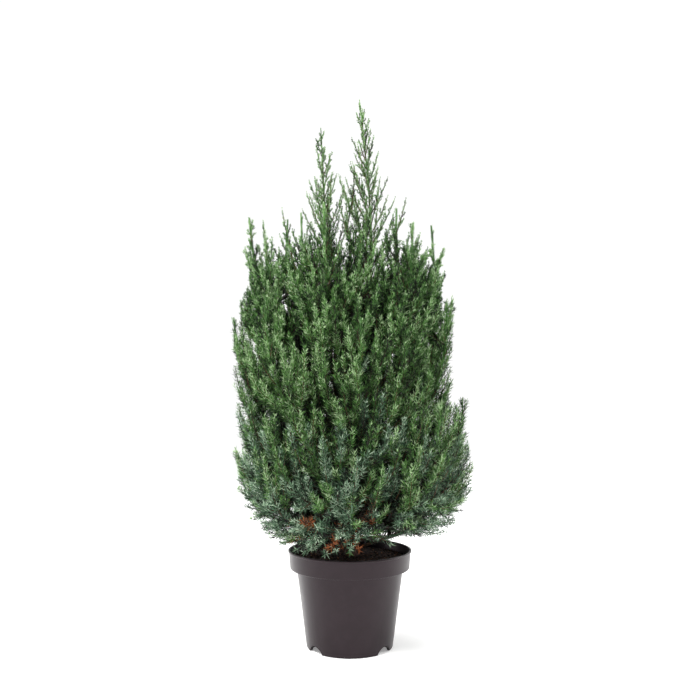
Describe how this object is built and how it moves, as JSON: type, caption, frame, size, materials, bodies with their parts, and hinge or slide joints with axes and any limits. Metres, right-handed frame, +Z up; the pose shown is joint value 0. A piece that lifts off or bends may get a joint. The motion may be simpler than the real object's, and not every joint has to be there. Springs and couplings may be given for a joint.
{
  "type": "young upright juniper in a nursery pot",
  "caption": "Unclipped upright juniper with a main leader and a lower second one, dense soft-needled plumes to the rim, in a round black plastic nursery pot filled with peat.",
  "frame": {"origin": "centre of the flat underside of the pot, on the surface it stands on", "axes": "+Z up the pot's axis, -Y the front, +X to the right as seen from the front"},
  "size_m": [0.3943, 0.3713, 0.8561],
  "materials": {
    "black_pot_plastic": "satin black moulded polypropylene",
    "peat_and_bark": "matt dark brown peat and bark crumbs",
    "red_brown_bark": "matt flaking red-brown bark",
    "juniper_foliage": "matt green needles, bluer and more spreading low on the plant"
  },
  "bodies": {
    "root": {"low_1_bough": "red_brown_bark", "low_1_foliage": "juniper_foliage", "low_2_bough": "red_brown_bark", "low_2_foliage": "juniper_foliage", "low_3_bough": "red_brown_bark", "low_3_foliage": "juniper_foliage", "low_4_bough": "red_brown_bark", "low_4_foliage": "juniper_foliage", "low_5_bough": "red_brown_bark", "low_5_foliage": "juniper_foliage", "low_6_bough": "red_brown_bark", "low_6_foliage": "juniper_foliage", "low_7_bough": "red_brown_bark", "low_7_foliage": "juniper_foliage", "pot": "black_pot_plastic", "second_leader_bough": "red_brown_bark", "second_leader_foliage": "juniper_foliage", "shoulder_1_foliage": "juniper_foliage", "shoulder_2_foliage": "juniper_foliage", "shoulder_3_foliage": "juniper_foliage", "shoulder_4_foliage": "juniper_foliage", "skirt_1_bough": "red_brown_bark", "skirt_1_foliage": "juniper_foliage", "skirt_2_bough": "red_brown_bark", "skirt_2_foliage": "juniper_foliage", "skirt_3_bough": "red_brown_bark", "skirt_3_foliage": "juniper_foliage", "skirt_4_bough": "red_brown_bark", "skirt_4_foliage": "juniper_foliage", "skirt_5_bough": "red_brown_bark", "skirt_5_foliage": "juniper_foliage", "skirt_6_bough": "red_brown_bark", "skirt_6_foliage": "juniper_foliage", "skirt_7_bough": "red_brown_bark", "skirt_7_foliage": "juniper_foliage", "skirt_8_bough": "red_brown_bark", "skirt_8_foliage": "juniper_foliage", "soil": "peat_and_bark", "tall_leader_foliage": "juniper_foliage", "trunk": "red_brown_bark", "upper_1_foliage": "juniper_foliage", "upper_2_foliage": "juniper_foliage", "upper_3_foliage": "juniper_foliage", "upper_4_foliage": "juniper_foliage", "upper_5_foliage": "juniper_foliage", "upper_6_foliage": "juniper_foliage", "waist_1_bough": "red_brown_bark", "waist_1_foliage": "juniper_foliage", "waist_2_bough": "red_brown_bark", "waist_2_foliage": "juniper_foliage", "waist_3_bough": "red_brown_bark", "waist_3_foliage": "juniper_foliage", "waist_4_bough": "red_brown_bark", "waist_4_foliage": "juniper_foliage", "waist_5_bough": "red_brown_bark", "waist_5_foliage": "juniper_foliage", "waist_6_bough": "red_brown_bark", "waist_6_foliage": "juniper_foliage", "waist_7_bough": "red_brown_bark", "waist_7_foliage": "juniper_foliage"}
  },
  "joints": []
}
